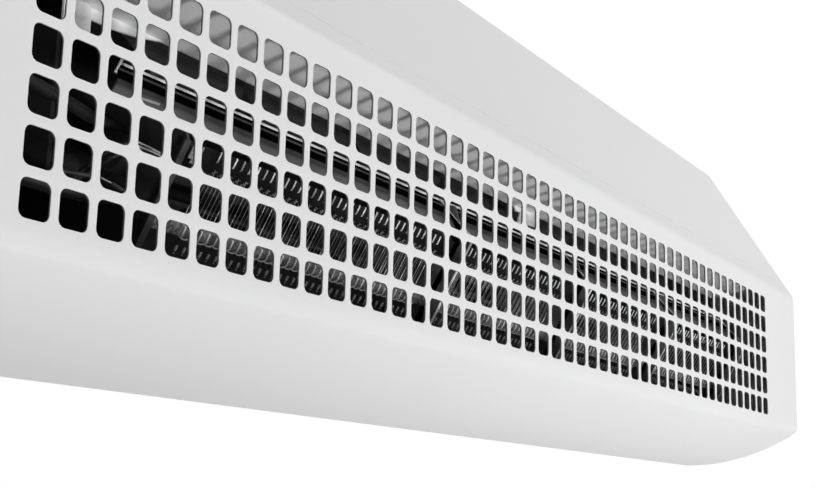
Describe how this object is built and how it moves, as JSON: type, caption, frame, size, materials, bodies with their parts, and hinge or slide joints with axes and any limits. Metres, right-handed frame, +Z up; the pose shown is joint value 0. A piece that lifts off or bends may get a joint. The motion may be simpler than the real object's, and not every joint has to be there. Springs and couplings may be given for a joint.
{
  "type": "air curtain",
  "caption": "Long wall-hung air curtain with a perforated front, stitched-wire heater, cross-flow fan and a downward outlet with a swinging vane.",
  "frame": {"origin": "centre of the four wall screw holes, in the plane of the wall that the brackets lie on", "axes": "+Z up, +Y into the wall, +X to the right for someone who faces the unit"},
  "size_m": [0.932, 0.228, 0.272],
  "materials": {
    "white_paint": "fine satin powder coat, white",
    "light_sheet": "light grey satin coat on the inner air guide",
    "galvanised": "galvanised sheet, dull sheen",
    "dark_sheet": "dark grey satin coat",
    "mica": "pressed mica board, dull grey-brown",
    "heater_wire": "bright resistance wire",
    "brass": "bright brass",
    "aluminium": "mill finish",
    "steel": "bright steel",
    "rubber": "matt black",
    "motor_paint": "grey satin paint",
    "block_plastic": "off-white thermoset",
    "black_plastic": "black moulded plastic",
    "capacitor_plastic": "light grey moulded can"
  },
  "bodies": {
    "housing": {"front_cover": "white_paint", "upper_casing": "white_paint", "bottom_panel": "white_paint", "end_cap_left": "white_paint", "end_cap_right": "white_paint", "wall_brackets": "galvanised", "fan_scroll": "light_sheet", "tongue": "galvanised", "heater_hood": "galvanised", "fan_plate_left": "dark_sheet", "fan_plate_right": "dark_sheet", "heater_dividers": "dark_sheet", "insulating_strips": "mica", "heater_wires": "heater_wire", "heater_terminals": "brass", "bearing_holder": "rubber", "bearing_bush": "brass", "motor_body": "motor_paint", "motor_plate": "galvanised", "rubber_mounts": "rubber", "control_box": "dark_sheet", "terminal_block": "block_plastic", "limit_thermostat": "black_plastic", "run_capacitor": "capacitor_plastic", "cable_gland": "black_plastic", "outlet_trim": "dark_sheet", "vane_supports": "black_plastic", "trim_screws": "steel", "cap_screws": "steel", "inner_screws": "steel"},
    "rotor": {"impeller": "aluminium", "drive_shaft": "steel", "stub_shaft": "steel"},
    "vane": {"outlet_vane": "white_paint"}
  },
  "joints": [
    {"name": "fan_spin", "type": "hinge", "parent": "housing", "child": "rotor", "pos_m": [0, -0.103, -0.018], "axis": [1, 0, 0], "continuous": true},
    {"name": "vane_swing", "type": "hinge", "parent": "housing", "child": "vane", "pos_m": [0, -0.088, -0.108], "axis": [1, 0, 0], "range_deg": [-25, 25]}
  ]
}
